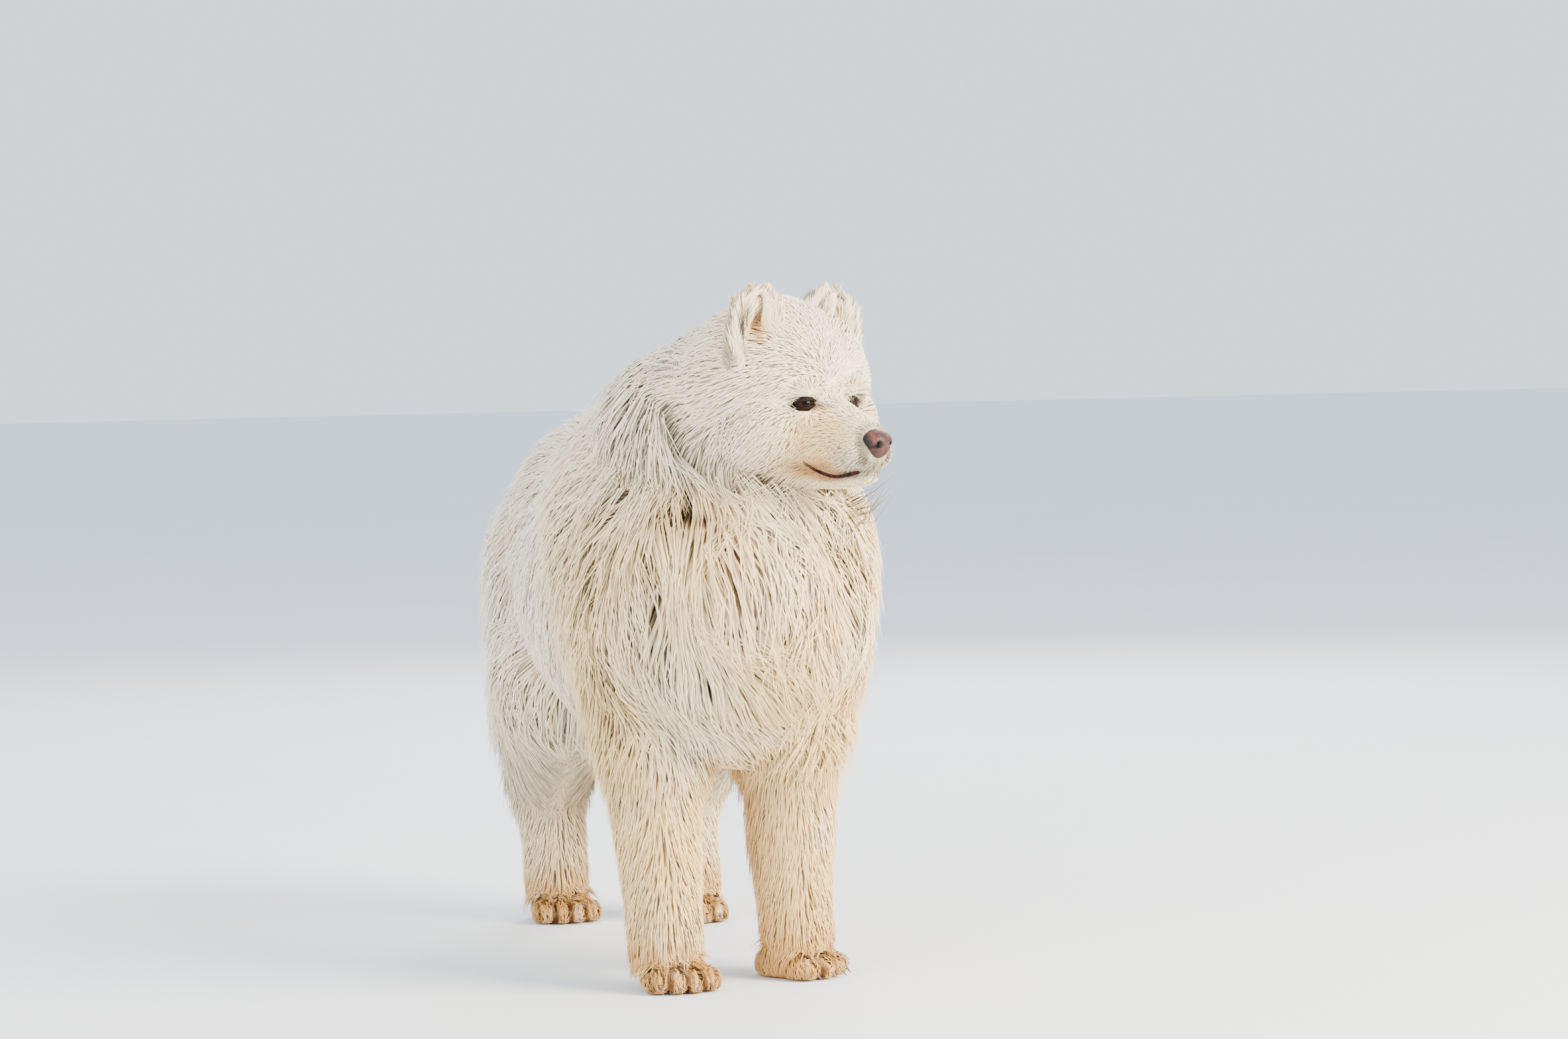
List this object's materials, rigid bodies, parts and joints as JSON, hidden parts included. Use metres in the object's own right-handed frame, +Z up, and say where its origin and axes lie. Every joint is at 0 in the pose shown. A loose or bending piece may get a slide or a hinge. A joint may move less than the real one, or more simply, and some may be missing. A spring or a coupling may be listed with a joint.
{
  "type": "samoyed",
  "caption": "Life-size still model of a standing samoyed, head turned to its left, with a long white coat and a slim dark collar.",
  "frame": {"origin": "on the floor, under the middle of the whole model's bounding box", "axes": "+Z up; the dog's body faces -Y and its left side is +X"},
  "size_m": [0.3968, 0.8778, 0.7115],
  "materials": {
    "coat": "long, soft double coat of fine white hair, cream on legs and chest",
    "ear": "short dense hair, tan and brown inside the cup",
    "paw_coat": "cream hair turning golden tan at the feet, red-brown between the toes",
    "eye": "wet, dark brown",
    "nose": "moist, pebbled liver-brown skin with near-black edges",
    "collar": "woven strap, dark olive",
    "buckle": "moulded plastic, near black"
  },
  "bodies": {
    "root": {"collar": "collar", "collar_buckle": "buckle", "ear_left": "ear", "ear_right": "ear", "eye_left": "eye", "eye_right": "eye", "head": "coat", "leg_front_left": "paw_coat", "leg_front_right": "paw_coat", "leg_hind_left": "paw_coat", "leg_hind_right": "paw_coat", "neck": "coat", "nose": "nose", "tail": "coat", "torso": "coat"}
  },
  "joints": []
}
